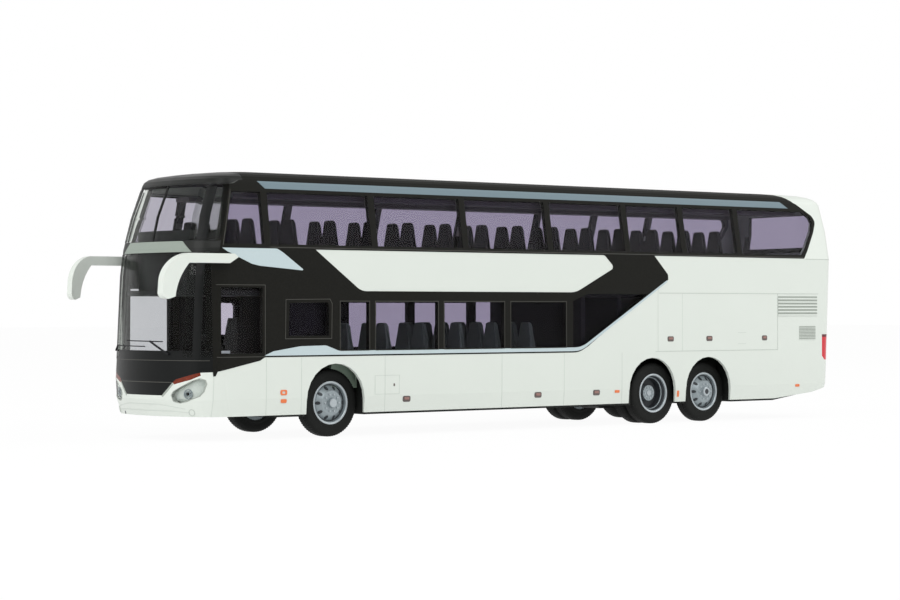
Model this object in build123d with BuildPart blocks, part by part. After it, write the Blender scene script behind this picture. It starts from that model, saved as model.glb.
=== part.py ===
from build123d import *
import math
import os

os.makedirs("parts", exist_ok=True)

# Double-decker touring coach, scale model. Millimetres, +X to the nose, +Y left, +Z up.
# Lengths in the tables are counted forward from a datum near the tail; at() puts them in the frame.
tail_x = -0.7
mirror_front_x = 165.7
mid_x = (tail_x + mirror_front_x) / 2
wall = 0.9
body_half_width = 14.65
skirt_z = 4.15
sill_z = 32.5
gutter_z = 44.1
roof_z = 46.0
seam_x = 155.2
upper_seam_low, upper_seam_high = 153.4, 150.5
cap_x, cap_z = 147.7, 43.4
band_low, band_high = 31.8, 33.7
glass_low = 15.2
wheel_r = 5.9
tyre_width = 2.6
twin_gap = 0.4
rim_r = 3.75
shaft_r = 0.6
shaft_gap = 0.15
arch_r = 6.3
arch_z = 6.5
arch_lip = 0.35
arch_relief = 0.45
box_reach = 7.1
box_wall = 0.5
box_z = 13.7
belly_z = 3.75
plate_z = 4.9
lower_floor_z = 8.4
upper_floor_z = 25.4
seat_pitch = 8.8
screw_r = 1.0
screw_span = 50.0
screw_mid_x = 91.0
glazing_depth = 0.55
inner_inset = wall + glazing_depth + 0.05
side_y = body_half_width - inner_inset

# Axles: name, place of the shaft and of the arch along the body, tyres a side, outer face of the tyre.
axles = [
    {"name": "front", "x": 129.2, "arch_x": 129.75, "tyres": 1, "face_y": 12.3},
    {"name": "drive", "x": 51.1, "arch_x": 52.75, "tyres": 2, "face_y": 13.1},
    {"name": "tag", "x": 36.3, "arch_x": 37.3, "tyres": 1, "face_y": 12.3},
]

# Outline of the body at each height: half width, foremost and rearmost point on the centre line,
# radii of the nose's corner and crown, and whether the inside follows this level too.
level_columns = ("z", "half", "nose", "tail", "corner", "crown", "inside")
level_rows = [
    (skirt_z, 14.40, 159.3, 1.6, 5.8, 30, True),
    (7.0, 14.62, 160.1, 0.6, 5.8, 30, False),
    (10.2, 14.65, 160.2, 0.4, 5.2, 30, True),
    (28.0, 14.65, 158.85, -0.4, 4.6, 35, True),
    (sill_z, 14.65, 158.3, -0.6, 5.6, 37, True),
    (38.0, 13.45, 156.95, -0.7, 5.2, 40, True),
    (43.7, 12.20, 154.6, 0.1, 3.6, 46, True),
    (44.3, 11.95, 154.2, 0.6, 3.4, 48, False),
    (44.8, 11.50, 153.5, 1.2, 3.4, 50, True),
    (45.2, 10.80, 152.2, 2.2, 4.0, 55, False),
    (45.6, 9.20, 149.6, 3.8, 4.5, 60, True),
    (45.9, 6.20, 145.5, 6.3, 3.6, 60, False),
    (roof_z, 3.00, 141.0, 9.0, 1.8, 60, False),
]
levels = [dict(zip(level_columns, row)) for row in level_rows]
tail_crown_r = 100.0
tail_corner_r = 2.5


def at(x):
    return x - mid_x


# Points of a rounded end: a shallow crown arc between two corner arcs that run into the sides.
# The corner's centre lies crown - corner from the crown's centre, so both arcs share a tangent.
def end_points(tip, half, corner, crown, sign):
    corner = min(corner, 0.6 * half)
    along = math.sqrt((crown - corner) ** 2 - (half - corner) ** 2)
    turn = math.atan2(half - corner, along)
    centre_x = -crown + along
    half_turn = (math.pi / 2 + turn) / 2
    outline = [
        (centre_x, half),
        (centre_x + corner * math.cos(half_turn), half - corner + corner * math.sin(half_turn)),
        (-crown + crown * math.cos(turn), crown * math.sin(turn)),
        (0, 0),
    ]
    return [(at(tip + sign * x), y) for x, y in outline]


# Plan outline of the body at height z, drawn in by inset all round.
def plan_face(z, row, inset):
    half = max(row["half"] - inset, 1.5)
    front = end_points(row["nose"] - inset, half, row["corner"] - inset, row["crown"] - inset, 1)
    rear = end_points(row["tail"] + inset, half, tail_corner_r - inset, tail_crown_r - inset, -1)
    with BuildSketch(Plane.XY.offset(z)) as outline:
        with BuildLine():
            for end in (front, rear):
                (side, bend, shoulder, tip) = end
                ThreePointArc(side, bend, shoulder)
                ThreePointArc(shoulder, tip, (shoulder[0], -shoulder[1]))
                ThreePointArc((shoulder[0], -shoulder[1]), (bend[0], -bend[1]), (side[0], -side[1]))
            for sign in (1, -1):
                Line((front[0][0], sign * front[0][1]), (rear[0][0], sign * rear[0][1]))
        make_face()
    return outline.sketch


# Body volume drawn in by inset; the top levels drop by inset too, and the inside has fewer levels.
def body_volume(inset, bottom):
    with BuildPart() as volume:
        faces = []
        for row in levels:
            if inset > 0 and not row["inside"]:
                continue
            drop = inset * min(1, max(0, row["z"] - sill_z) / 12)
            z = bottom if row["z"] == skirt_z else row["z"] - drop
            faces.append(plan_face(z, row, inset))
        loft(sections=faces, ruled=True)
    return volume.part


# Row of the level table at any height, by straight lines between the rows.
def row_at(z):
    z = max(z, skirt_z)
    below = [row for row in levels if row["z"] <= z][-1]
    above = [row for row in levels if row["z"] > z][0]
    share = (z - below["z"]) / (above["z"] - below["z"])
    return {key: below[key] + (above[key] - below[key]) * share for key in level_columns}


# Slab with the body's plan outline, fitting inside the walls from z_low to z_high.
def slab(z_low, z_high, inset):
    low, high = row_at(z_low), row_at(z_high)
    row = {key: min(low[key], high[key]) for key in ("half", "nose", "corner", "crown")}
    row["tail"] = max(low["tail"], high["tail"])
    with BuildPart() as plate:
        add(plan_face(z_low, row, inset))
        extrude(amount=z_high - z_low)
    return plate.part


# Solid with the given outline in side view, from y_low to y_high.
def side_prism(points, y_low, y_high):
    with BuildPart() as prism:
        with BuildSketch(Plane.XZ.offset(-y_high)):
            with BuildLine():
                Polyline(*[(at(x), z) for x, z in points], close=True)
            make_face()
        extrude(amount=y_high - y_low)
    return prism.part


# Solid with the given outline in front view, from x_low to x_high.
def front_prism(points, x_low, x_high):
    with BuildPart() as prism:
        with BuildSketch(Plane.YZ.offset(at(x_low))):
            with BuildLine():
                Polyline(*points, close=True)
            make_face()
        extrude(amount=x_high - x_low)
    return prism.part


def block(x_low, x_high, y_low, y_high, z_low, z_high):
    with BuildPart() as brick:
        with Locations((at((x_low + x_high) / 2), (y_low + y_high) / 2, (z_low + z_high) / 2)):
            Box(x_high - x_low, y_high - y_low, z_high - z_low)
    return brick.part


def mirrored(points):
    return [(-y, z) for y, z in points]


# Range across the body from y_near to y_far on one side, lower value first.
def span(side, y_near, y_far):
    return sorted((side * y_near, side * y_far))


# Wheel arch in side view: upright sides and a round top, in steps of 15 degrees.
def arch_prism(x, radius, y_low, y_high):
    outline = [(x - radius, 0)]
    for step in range(13):
        angle = math.radians(180 - 15 * step)
        outline.append((x + radius * math.cos(angle), arch_z + radius * math.sin(angle)))
    outline.append((x + radius, 0))
    return side_prism(outline, y_low, y_high)


outer_volume = body_volume(0, skirt_z)
inner_volume = body_volume(wall, skirt_z - 1)
room_volume = body_volume(wall + glazing_depth, skirt_z - 1)
with BuildPart() as skin:
    add(outer_volume)
    add(inner_volume, mode=Mode.SUBTRACT)

# Regions of the skin that are pieces of their own.
far_x, far_y, far_z = 170, 20, 47
lower_glass_zone = side_prism(
    [(seam_x, glass_low), (far_x, glass_low), (far_x, band_low), (seam_x, band_low)], -far_y, far_y)
band_zone = side_prism(
    [(upper_seam_low + 0.5, band_low), (far_x, band_low), (far_x, band_high), (upper_seam_low, band_high)],
    -far_y, far_y)
upper_glass_zone = side_prism(
    [(upper_seam_low, band_high), (far_x, band_high), (far_x, cap_z), (upper_seam_high, cap_z)],
    -far_y, far_y)
cap_zone = side_prism(
    [(upper_seam_high, cap_z), (far_x, cap_z), (far_x, far_z), (cap_x, far_z), (cap_x, gutter_z),
     (cap_x + 0.9, gutter_z), (cap_x + 1.9, 43.62)], -far_y, far_y)
chin_zone = side_prism([(seam_x, 3), (far_x, 3), (far_x, glass_low), (seam_x, glass_low)], -far_y, far_y)
roof_zone = side_prism(
    [(10.0, gutter_z), (cap_x, gutter_z), (cap_x, far_z), (14.2, far_z), (12.3, 45.4)], -far_y, far_y)
tail_rise_zone = side_prism([(-5, 0), (18, 0), (18, skirt_z), (7, 5.2), (3, 6.1), (-5, 6.3)], -far_y, far_y)
mask_shape = [(-16, glass_low), (-16, 11.75), (-12.9, 11.6), (-8.6, 10.45), (-7.9, 9.9),
              (7.9, 9.9), (8.6, 10.45), (12.9, 11.6), (16, 11.75), (16, glass_low)]
grille_shape = [(-7.9, 9.9), (7.9, 9.9), (6.5, 8.65), (5.4, 7.7), (-5.4, 7.7), (-6.5, 8.65)]
indicator_shape = [(8.6, 10.45), (12.9, 11.6), (13.0, 11.1), (11.5, 10.4), (8.2, 9.6), (7.9, 9.9)]
headlight_shape = [(7.45, 7.8), (7.9, 6.7), (9.2, 6.4), (10.7, 6.7), (12.8, 7.6), (13.35, 8.4), (13.7, 9.7),
                   (13.6, 10.4), (12.9, 10.7), (11.8, 10.3), (9.3, 9.1), (8.0, 8.5)]
mask_zone = front_prism(mask_shape, seam_x, far_x)

# Side windows: outline in side view.
lower_windows = [
    [(128.8, 15.1), (128.8, 23.5), (122.5, 23.5), (122.5, 15.1)],
    [(121.0, 15.1), (121.0, 23.5), (106.8, 23.5), (106.8, 15.1)],
    [(105.3, 15.1), (105.3, 23.5), (91.0, 23.5), (91.0, 15.1)],
    [(89.3, 15.1), (89.3, 23.5), (75.6, 23.5), (75.6, 15.1)],
    [(73.8, 15.1), (73.8, 23.7), (70.0, 25.1), (54.2, 25.1), (70.0, 15.1)],
]
cab_window = [(153.9, 14.7), (153.9, 25.9), (145.4, 25.9), (145.4, 14.7)]
small_window = [(140.0, 17.6), (139.8, 23.3), (131.6, 23.4), (131.2, 22.8), (131.3, 17.6)]
upper_windows = [
    [(153.05, 33.2), (150.4, 42.2), (144.4, 42.2), (144.9, 33.2)],
    [(143.6, 33.2), (143.1, 42.2), (121.2, 42.2), (121.7, 33.2)],
    [(120.4, 33.2), (119.9, 42.2), (100.2, 42.2), (100.7, 33.2)],
    [(99.4, 33.2), (98.9, 42.2), (79.4, 42.2), (79.9, 33.2)],
    [(78.6, 33.2), (78.1, 42.2), (59.4, 42.2), (59.9, 33.2)],
    [(58.6, 33.2), (58.1, 42.2), (44.0, 42.2), (44.5, 33.2)],
    [(43.2, 33.2), (42.7, 42.2), (28.4, 42.2), (28.9, 33.2)],
    [(27.6, 33.2), (27.1, 42.2), (7.4, 42.2), (5.6, 41.1), (5.1, 40.0), (5.8, 38.2), (8.4, 34.7),
     (9.8, 33.2)],
]
rear_window = [(-9.6, 35.0), (-8.6, 41.8), (8.6, 41.8), (9.6, 35.0)]
tail_lamp = [(3.9, 17.0), (3.9, 12.6), (3.2, 11.8), (-2, 11.8), (-2, 17.0)]

with BuildPart() as body_shell:
    add(skin.part)
    cuts = [lower_glass_zone, band_zone, upper_glass_zone, cap_zone, chin_zone, roof_zone, tail_rise_zone]
    cuts.append(front_prism(rear_window, -3, 6))
    for side in (1, -1):
        for pane in lower_windows + upper_windows + [cab_window, small_window]:
            cuts.append(side_prism(pane, *span(side, 9.5, 17)))
        cuts.append(side_prism(tail_lamp, *span(side, 12.6, 17)))
        for axle in axles:
            cuts.append(arch_prism(axle["arch_x"], arch_r, *span(side, 10, 17)))
            inside = row_at(skirt_z)["half"] - arch_lip
            cuts.append(arch_prism(axle["arch_x"], arch_r + arch_relief, *span(side, 10, inside)))
    add(cuts, mode=Mode.SUBTRACT)
body_shell.part.label = "body_shell"
export_step(body_shell.part, "parts/body_shell.step")

with BuildPart() as roof_panel:
    add(skin.part)
    add(roof_zone, mode=Mode.INTERSECT)
roof_panel.part.label = "roof_panel"
export_step(roof_panel.part, "parts/roof_panel.step")

with BuildPart() as roof_cap:
    add(skin.part)
    add(cap_zone, mode=Mode.INTERSECT)
roof_cap.part.label = "roof_cap"
export_step(roof_cap.part, "parts/roof_cap.step")

with BuildPart() as upper_windscreen:
    add(skin.part)
    add(upper_glass_zone, mode=Mode.INTERSECT)
upper_windscreen.part.label = "upper_windscreen"
export_step(upper_windscreen.part, "parts/upper_windscreen.step")

with BuildPart() as front_band:
    add(skin.part)
    add(band_zone, mode=Mode.INTERSECT)
front_band.part.label = "front_band"
export_step(front_band.part, "parts/front_band.step")

with BuildPart() as lower_windscreen:
    add(skin.part)
    add(lower_glass_zone, mode=Mode.INTERSECT)
lower_windscreen.part.label = "lower_windscreen"
export_step(lower_windscreen.part, "parts/lower_windscreen.step")

with BuildPart() as front_mask:
    add(skin.part)
    add(chin_zone, mode=Mode.INTERSECT)
    add(mask_zone, mode=Mode.INTERSECT)
front_mask.part.label = "front_mask"
export_step(front_mask.part, "parts/front_mask.step")

with BuildPart() as front_bumper:
    add(skin.part)
    add(chin_zone, mode=Mode.INTERSECT)
    add(mask_zone, mode=Mode.SUBTRACT)
    add(front_prism(grille_shape, seam_x, 170), mode=Mode.SUBTRACT)
    for shape in (indicator_shape, headlight_shape):
        add(front_prism(shape, seam_x + 0.2, 170), mode=Mode.SUBTRACT)
        add(front_prism(mirrored(shape), seam_x + 0.2, 170), mode=Mode.SUBTRACT)
front_bumper.part.label = "front_bumper"
export_step(front_bumper.part, "parts/front_bumper.step")

with BuildPart() as grille_panel:
    add(skin.part)
    add(front_prism(grille_shape, seam_x, 170), mode=Mode.INTERSECT)
grille_panel.part.label = "grille_panel"
export_step(grille_panel.part, "parts/grille_panel.step")

with BuildPart() as indicators:
    for shape in (indicator_shape, mirrored(indicator_shape)):
        with BuildPart(mode=Mode.PRIVATE) as lamp:
            add(skin.part)
            add(front_prism(shape, seam_x + 0.2, 170), mode=Mode.INTERSECT)
        add(lamp.part)
indicators.part.label = "indicators"
export_step(indicators.part, "parts/indicators.step")

with BuildPart() as headlight_left:
    add(skin.part)
    add(front_prism(headlight_shape, seam_x + 0.2, 170), mode=Mode.INTERSECT)
headlight_left.part.label = "headlight_left"
export_step(headlight_left.part, "parts/headlight_left.step")

with BuildPart() as headlight_right:
    add(skin.part)
    add(front_prism(mirrored(headlight_shape), seam_x + 0.2, 170), mode=Mode.INTERSECT)
headlight_right.part.label = "headlight_right"
export_step(headlight_right.part, "parts/headlight_right.step")

with BuildPart() as tail_lights:
    for side in (1, -1):
        with BuildPart(mode=Mode.PRIVATE) as lamp:
            add(skin.part)
            add(side_prism(tail_lamp, *span(side, 12.6, 17)), mode=Mode.INTERSECT)
        add(lamp.part)
tail_lights.part.label = "tail_lights"
export_step(tail_lights.part, "parts/tail_lights.step")

with BuildPart() as rear_screen:
    add(skin.part)
    add(front_prism(rear_window, -3, 6), mode=Mode.INTERSECT)
rear_screen.part.label = "rear_screen"
export_step(rear_screen.part, "parts/rear_screen.step")


# Side glazing: each pane fills its opening and a strip inside joins the panes.
def glazing(panes, side, strip):
    low, high = span(side, 9.5, 17)
    with BuildPart() as glass:
        with BuildPart(mode=Mode.PRIVATE) as backing:
            add(inner_volume)
            add(room_volume, mode=Mode.SUBTRACT)
            add(side_prism(strip, low, high), mode=Mode.INTERSECT)
        add(backing.part)
        with BuildPart(mode=Mode.PRIVATE) as plugs:
            add([side_prism(pane, low, high) for pane in panes])
            add(outer_volume, mode=Mode.INTERSECT)
            add(inner_volume, mode=Mode.SUBTRACT)
        add(plugs.part)
    return glass.part


upper_strip = [(153.3, 32.9), (150.6, 42.5), (7.0, 42.5), (5.0, 41.3), (4.6, 40.0), (5.4, 38.0), (9.3, 32.9)]
lower_strip = [(140.4, 14.8), (140.4, 23.8), (73.9, 23.8), (70.2, 25.3), (53.6, 25.3), (53.6, 24.8),
               (69.9, 14.8)]
cab_strip = [(154.6, 14.2), (154.6, 26.4), (145.0, 26.4), (145.0, 14.2)]

with BuildPart() as upper_glazing_left:
    add(glazing(upper_windows, 1, upper_strip))
upper_glazing_left.part.label = "upper_glazing_left"
export_step(upper_glazing_left.part, "parts/upper_glazing_left.step")

with BuildPart() as upper_glazing_right:
    add(glazing(upper_windows, -1, upper_strip))
upper_glazing_right.part.label = "upper_glazing_right"
export_step(upper_glazing_right.part, "parts/upper_glazing_right.step")

with BuildPart() as lower_glazing_left:
    add(glazing(lower_windows + [small_window], 1, lower_strip))
lower_glazing_left.part.label = "lower_glazing_left"
export_step(lower_glazing_left.part, "parts/lower_glazing_left.step")

with BuildPart() as lower_glazing_right:
    add(glazing(lower_windows + [small_window], -1, lower_strip))
lower_glazing_right.part.label = "lower_glazing_right"
export_step(lower_glazing_right.part, "parts/lower_glazing_right.step")

with BuildPart() as cab_glass_left:
    add(glazing([cab_window], 1, cab_strip))
cab_glass_left.part.label = "cab_glass_left"
export_step(cab_glass_left.part, "parts/cab_glass_left.step")

with BuildPart() as door_glass_right:
    add(glazing([cab_window], -1, cab_strip))
door_glass_right.part.label = "door_glass_right"
export_step(door_glass_right.part, "parts/door_glass_right.step")


# Width that an axle's tyres take up on one side.
def tyre_band(axle):
    return axle["tyres"] * tyre_width + (axle["tyres"] - 1) * twin_gap


# Chassis: belly plate, wheel boxes, bearing ribs, axle housing and screw bosses.
box_gap = 0.35
box_outer_y = 13.45
rib_half_x, rib_width, rib_top = 1.8, 1.0, 7.6
boss_r, boss_top = 2.0, 7.4
with BuildPart() as chassis:
    add(slab(belly_z, plate_z, wall + 0.15))
    add(block(3.4, 14, -12, 12, plate_z - 0.1, plate_z + 1.7))
    housing = [(49.4, plate_z), (49.4, 3.3), (50.2, 2.75), (55.3, 2.75), (56.1, 3.3), (56.1, plate_z)]
    add(side_prism(housing, -2.5, 2.5))
    boxes, hollows, ribs = [], [], []
    for axle in axles:
        x = axle["x"]
        inner_y = axle["face_y"] - tyre_band(axle) - box_gap
        for side in (1, -1):
            boxes.append(block(x - box_reach, x + box_reach, *span(side, inner_y - box_wall, box_outer_y),
                               belly_z, box_z))
            reach = box_reach - box_wall
            hollows.append(block(x - reach, x + reach, *span(side, inner_y, 20), 0, box_z - box_wall))
            rib_y = inner_y - box_wall
            ribs.append(block(x - rib_half_x, x + rib_half_x, *span(side, rib_y - rib_width, rib_y + 0.1),
                              plate_z - 0.2, rib_top))
    add(boxes)
    add(hollows, mode=Mode.SUBTRACT)
    add(ribs)
    cuts = [block(142, far_x, -far_y, far_y, 0, 4.25), block(150, far_x, -far_y, far_y, 0, 10)]
    cuts.append(side_prism([(-5, 0), (17.5, 0), (17.5, belly_z), (3, 5.7), (-5, 5.9)], -far_y, far_y))
    slot = shaft_r + shaft_gap
    for axle in axles:
        cuts.append(block(axle["x"] - slot, axle["x"] + slot, -13, 13, wheel_r - slot, wheel_r + slot))
    add(cuts, mode=Mode.SUBTRACT)
    for side in (1, -1):
        with Locations((at(screw_mid_x) + side * screw_span / 2, 0, (belly_z + boss_top) / 2)):
            Cylinder(boss_r, boss_top - belly_z)
            Cylinder(screw_r, boss_top - belly_z + 1, mode=Mode.SUBTRACT)
chassis.part.label = "chassis"
export_step(chassis.part, "parts/chassis.step")

# Lower deck: floor, two bulkheads and the stairwell behind the small window on the left.
bulkhead_top = upper_floor_z - 0.95
stair_y = 8.6
with BuildPart() as lower_floor:
    add(slab(lower_floor_z - 0.8, lower_floor_z, inner_inset))
    add(block(-5, 60, -far_y, far_y, 0, 30), mode=Mode.SUBTRACT)
    front_x, front_face_y = axles[0]["x"], axles[0]["face_y"]
    box_y = front_face_y - tyre_width - box_gap - box_wall - 0.2
    box_room = box_reach + 0.2
    for side in (1, -1):
        well = block(front_x - box_room, front_x + box_room, *span(side, box_y, far_y), 0, 14)
        add(well, mode=Mode.SUBTRACT)
    walls = [
        block(60, 61, -side_y, side_y, lower_floor_z - 0.1, bulkhead_top),
        block(88, 89, -side_y, 0, lower_floor_z - 0.1, bulkhead_top),
        block(front_x + box_room, 141, stair_y, side_y, lower_floor_z - 0.1, bulkhead_top),
        block(130.6, front_x + box_room, stair_y, side_y, box_z + 0.3, bulkhead_top),
    ]
    add(walls)
lower_floor.part.label = "lower_floor"
export_step(lower_floor.part, "parts/lower_floor.step")

with BuildPart() as upper_floor:
    add(slab(upper_floor_z - 0.9, upper_floor_z, inner_inset))
upper_floor.part.label = "upper_floor"
export_step(upper_floor.part, "parts/upper_floor.step")

# Seat: side view of cushion and raked back, narrowed to the headrest in front view.
seat_half = 2.15
headrest_half = 1.25
seat_height = 12.3
seat_length = 4.4
seat_side = [(-1.3, 0), (-1.1, 4.6), (-0.6, seat_height), (0.5, seat_height), (1.0, 4.8), (seat_length, 4.3),
             (seat_length, 0)]
seat_front = [(-seat_half, 0), (-seat_half, 4.8), (-headrest_half - 0.2, 11.8), (-headrest_half, seat_height),
              (headrest_half, seat_height), (headrest_half + 0.2, 11.8), (seat_half, 4.8), (seat_half, 0)]
with BuildPart() as chair:
    add(side_prism([(x + mid_x, z) for x, z in seat_side], -seat_half, seat_half))
    add(front_prism(seat_front, mid_x - 5, mid_x + 5), mode=Mode.INTERSECT)


# Copies of the seat; places are (x, y), facing 1 looks forward and -1 back.
def seats(places, floor, facing):
    turn = 0 if facing > 0 else 180
    return [chair.part.moved(Location((at(x), y, floor), (0, 0, turn))) for x, y in places]


seat_sides = [9.6, 5.2, -5.2, -9.6]
upper_row_x = 143.9
upper_rows = 14
with BuildPart() as upper_seats:
    rows_x = [upper_row_x - row * seat_pitch for row in range(upper_rows)]
    add(seats([(x, y) for x in rows_x for y in seat_sides], upper_floor_z, 1))
upper_seats.part.label = "upper_seats"
export_step(upper_seats.part, "parts/upper_seats.step")

# Lower deck seats: place, facing, sides in use.
lower_rows = [
    {"x": 119.0, "facing": -1, "sides": seat_sides},
    {"x": 106.4, "facing": 1, "sides": seat_sides},
    {"x": 97.4, "facing": 1, "sides": seat_sides},
    {"x": 83.6, "facing": 1, "sides": seat_sides[:2]},
    {"x": 74.8, "facing": 1, "sides": seat_sides},
    {"x": 66.0, "facing": 1, "sides": seat_sides},
]
with BuildPart() as lower_seats:
    for row in lower_rows:
        add(seats([(row["x"], y) for y in row["sides"]], lower_floor_z, row["facing"]))
lower_seats.part.label = "lower_seats"
export_step(lower_seats.part, "parts/lower_seats.step")

driver_x, driver_y = 145.6, 6.5
with BuildPart() as driver_seat:
    add(seats([(driver_x, driver_y)], lower_floor_z, 1))
driver_seat.part.label = "driver_seat"
export_step(driver_seat.part, "parts/driver_seat.step")

dash_x, dash_top = 151.5, 14.6
with BuildPart() as dashboard:
    add(slab(lower_floor_z, dash_top, inner_inset + 0.1))
    add(block(-5, dash_x, -far_y, far_y, 0, 30), mode=Mode.SUBTRACT)
dashboard.part.label = "dashboard"
export_step(dashboard.part, "parts/dashboard.step")

ledge_x, ledge_top = 150.4, 35.6
with BuildPart() as upper_ledge:
    add(slab(upper_floor_z, ledge_top, inner_inset + 0.5))
    add(block(-5, ledge_x, -far_y, far_y, 0, 50), mode=Mode.SUBTRACT)
upper_ledge.part.label = "upper_ledge"
export_step(upper_ledge.part, "parts/upper_ledge.step")

steering_r, steering_z = 2.3, 16.4
with BuildPart() as steering_wheel:
    wheel_plane = Plane(origin=(at(dash_x - 1.3), driver_y, steering_z), z_dir=(-0.55, 0, 0.84))
    with BuildSketch(wheel_plane):
        Circle(steering_r)
        Circle(steering_r - 0.4, mode=Mode.SUBTRACT)
        Rectangle(2 * steering_r - 0.4, 0.5)
    extrude(amount=0.4)
    with BuildSketch(wheel_plane):
        Rectangle(0.7, 0.7)
    extrude(amount=-1.7)
steering_wheel.part.label = "steering_wheel"
export_step(steering_wheel.part, "parts/steering_wheel.step")

with BuildPart() as luggage_shelves:
    add([block(8, 146, *span(side, 6.5, 10.5), 41.2, 42.0) for side in (1, -1)])
luggage_shelves.part.label = "luggage_shelves"
export_step(luggage_shelves.part, "parts/luggage_shelves.step")


# Mirror: the side view has the arm, the elbow and the hanging head; the plan bends the head inwards.
arm_low, arm_high = 29.9, 31.5
mirror_thick = 1.2
with BuildPart() as mirror_blank:
    with BuildSketch(Plane.XZ.offset(-far_y)):
        with BuildLine():
            front_x = at(mirror_front_x)
            Line((at(152.9), arm_low), (at(151.2), 30.9))
            Line((at(151.2), 30.9), (at(151.9), arm_high))
            Line((at(151.9), arm_high), (at(161.2), arm_high))
            ThreePointArc((at(161.2), arm_high), (at(164.2), 30.0), (front_x - 0.1, 26.9))
            Line((front_x - 0.1, 26.9), (front_x, 25.2))
            ThreePointArc((front_x, 25.2), (front_x - 0.25, 24.25), (at(164.7), 23.9))
            Line((at(164.7), 23.9), (at(163.55), 24.3))
            ThreePointArc((at(163.55), 24.3), (at(162.75), 27.3), (at(161.0), arm_low))
            Line((at(161.0), arm_low), (at(152.9), arm_low))
        make_face()
    extrude(amount=2 * far_y)
with BuildPart() as mirror_plan:
    with BuildSketch(Plane.XY.offset(20)):
        with BuildLine():
            near = body_half_width
            Line((at(150), near), (at(159.5), near))
            ThreePointArc((at(159.5), near), (at(163.0), near - 0.45), (at(166.5), near - 1.6))
            Line((at(166.5), near - 1.6), (at(167.0), near - 0.2))
            ThreePointArc((at(167.0), near - 0.2), (at(163.4), near + 0.85), (at(159.5), near + mirror_thick))
            Line((at(159.5), near + mirror_thick), (at(150), near + mirror_thick))
            Line((at(150), near + mirror_thick), (at(150), near))
        make_face()
    extrude(amount=20)

with BuildPart() as mirror_left:
    add(mirror_blank.part)
    add(mirror_plan.part, mode=Mode.INTERSECT)
mirror_left.part.label = "mirror_left"
export_step(mirror_left.part, "parts/mirror_left.step")

with BuildPart() as mirror_right:
    add(mirror_left.part.mirror(Plane.XZ))
mirror_right.part.label = "mirror_right"
export_step(mirror_right.part, "parts/mirror_right.step")


# Tyre: section drawn as radius and distance across, turned about the axle; the sidewalls lean in.
sidewall_lean = 0.25


def tyre(centre_y):
    half, tread_half = tyre_width / 2, tyre_width / 2 - sidewall_lean
    with BuildPart() as ring:
        with BuildSketch(Plane.XY):
            with BuildLine():
                Polyline((rim_r, centre_y - half), (wheel_r, centre_y - tread_half),
                         (wheel_r, centre_y + tread_half), (rim_r, centre_y + half), close=True)
            make_face()
        revolve(axis=Axis.Y)
    return ring.part


# Rim section as radius and depth in from the tyre's outer face, from the hub to the back.
# Single wheels have a disc that domes outwards; twin wheels have a deep dish and a hub inside it.
hub_out = {1: -0.85, 2: 1.3}
disc_deep = {1: 0.75, 2: 2.6}


def rim(axle, side):
    tyres, face = axle["tyres"], axle["face_y"]
    back = face - tyre_band(axle) + 0.3
    hub, disc = face - hub_out[tyres], face - disc_deep[tyres]
    ring = face - 0.1
    if tyres == 1:
        centre = [(3.2, disc), (2.1, face + 0.3), (0.9, face + 0.3), (0.8, hub), (0, hub)]
    else:
        centre = [(2.9, disc), (1.55, disc), (1.5, hub), (0, hub)]
    with BuildPart() as metal:
        with BuildSketch(Plane.XY):
            with BuildLine():
                Polyline((shaft_r, back), (rim_r, back), (rim_r, ring), (rim_r - 0.4, ring), *centre,
                         (0, back + 1), (shaft_r, back + 1), close=True)
            make_face()
        revolve(axis=Axis.Y)
    turned = metal.part if side > 0 else metal.part.mirror(Plane.XZ)
    return turned.moved(Location((at(axle["x"]), 0, wheel_r)))


for axle in axles:
    name = axle["name"]
    for side, word in ((1, "left"), (-1, "right")):
        with BuildPart() as tyres_node:
            for number in range(axle["tyres"]):
                centre = side * (axle["face_y"] - tyre_width / 2 - number * (tyre_width + twin_gap))
                add(tyre(centre).moved(Location((at(axle["x"]), 0, wheel_r))))
        tyres_node.part.label = f"{name}_tyre_{word}"
        export_step(tyres_node.part, f"parts/{name}_tyre_{word}.step")
        with BuildPart() as rim_node:
            add(rim(axle, side))
        rim_node.part.label = f"{name}_rim_{word}"
        export_step(rim_node.part, f"parts/{name}_rim_{word}.step")
    with BuildPart() as axle_node:
        reach = axle["face_y"] - tyre_band(axle) + 0.3 + 1
        with Locations(Location((at(axle["x"]), 0, wheel_r), (90, 0, 0))):
            Cylinder(shaft_r, 2 * reach)
    axle_node.part.label = f"{name}_axle"
    export_step(axle_node.part, f"parts/{name}_axle.step")
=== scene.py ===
import math
import bpy
import bmesh
import numpy as np
from mathutils import Matrix, Vector
from mathutils.geometry import tessellate_polygon


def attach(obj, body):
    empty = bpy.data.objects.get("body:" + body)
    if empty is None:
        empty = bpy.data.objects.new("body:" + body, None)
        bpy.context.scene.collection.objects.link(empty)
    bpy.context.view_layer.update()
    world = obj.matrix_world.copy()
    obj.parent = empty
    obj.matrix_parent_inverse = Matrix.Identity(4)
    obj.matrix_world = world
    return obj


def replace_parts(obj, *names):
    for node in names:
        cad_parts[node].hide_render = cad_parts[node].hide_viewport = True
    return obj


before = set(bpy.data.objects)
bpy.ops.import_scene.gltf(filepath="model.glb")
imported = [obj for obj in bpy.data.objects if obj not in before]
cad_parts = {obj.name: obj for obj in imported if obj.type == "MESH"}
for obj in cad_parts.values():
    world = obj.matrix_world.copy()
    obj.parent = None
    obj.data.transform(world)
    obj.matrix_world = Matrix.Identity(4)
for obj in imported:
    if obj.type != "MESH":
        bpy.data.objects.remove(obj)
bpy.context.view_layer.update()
mm = 0.001
print("frame loaded", len(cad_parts), "nodes")

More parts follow.
